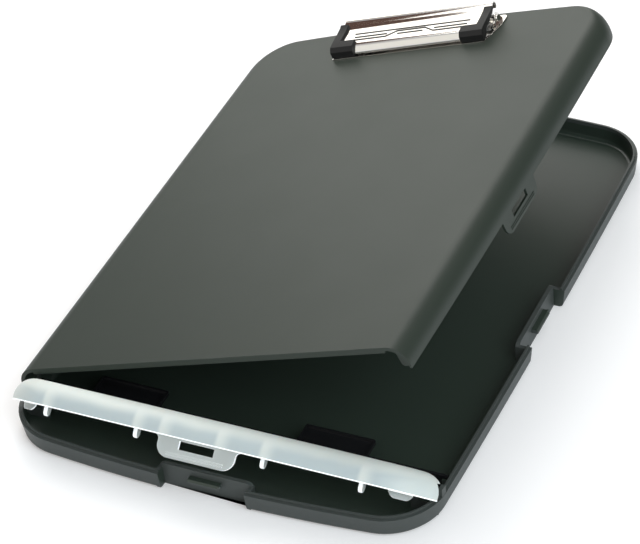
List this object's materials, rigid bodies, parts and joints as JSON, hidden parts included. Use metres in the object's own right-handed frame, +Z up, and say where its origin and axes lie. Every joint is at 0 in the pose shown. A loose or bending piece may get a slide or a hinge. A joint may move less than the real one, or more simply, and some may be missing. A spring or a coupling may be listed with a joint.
{
  "type": "storage clipboard box",
  "caption": "Shallow storage tray with a side-hinged writing lid, a sprung paper clip, a pen compartment under its own flap and snap latches.",
  "frame": {"origin": "centre of the tray's underside", "axes": "+X towards the latch side, +Y towards the clip, +Z up"},
  "size_m": [0.2615, 0.3781, 0.107],
  "materials": {
    "shell_plastic": "fine moulded texture, matte charcoal",
    "divider_plastic": "smooth moulded black",
    "flap_plastic": "frosted translucent",
    "clip_chrome": "bright nickel plating on pressed steel",
    "steel": "drawn wire and turned steel",
    "grip_rubber": "satin black"
  },
  "bodies": {
    "tray": {"tray": "shell_plastic", "divider": "divider_plastic", "front_hinge_pin": "steel", "rear_hinge_pin": "steel"},
    "lid": {"lid": "shell_plastic", "clip_base": "clip_chrome", "clip_rod": "clip_chrome", "left_spring": "steel", "right_spring": "steel", "left_rivet": "clip_chrome", "right_rivet": "clip_chrome", "left_washer": "steel", "right_washer": "steel"},
    "flap": {"pen_flap": "flap_plastic"},
    "jaw": {"clip_jaw": "clip_chrome", "left_grip": "grip_rubber", "right_grip": "grip_rubber"}
  },
  "joints": [
    {"name": "lid_hinge", "type": "hinge", "parent": "tray", "child": "lid", "pos_m": [-0.1283, 0, 0.0127], "axis": [0, -1, 0], "range_deg": [-19, 131]},
    {"name": "flap_hinge", "type": "hinge", "parent": "tray", "child": "flap", "pos_m": [0, -0.1557, 0.0223], "axis": [-1, 0, 0], "range_deg": [-47, 43]},
    {"name": "jaw_hinge", "type": "hinge", "parent": "lid", "child": "jaw", "pos_m": [-0.01673, 0.169, 0.07047], "axis": [-0.9455, 0, -0.3256], "range_deg": [0, 30], "stiffness_Nm_per_rad": 0.25, "springref_deg": -68.75}
  ]
}
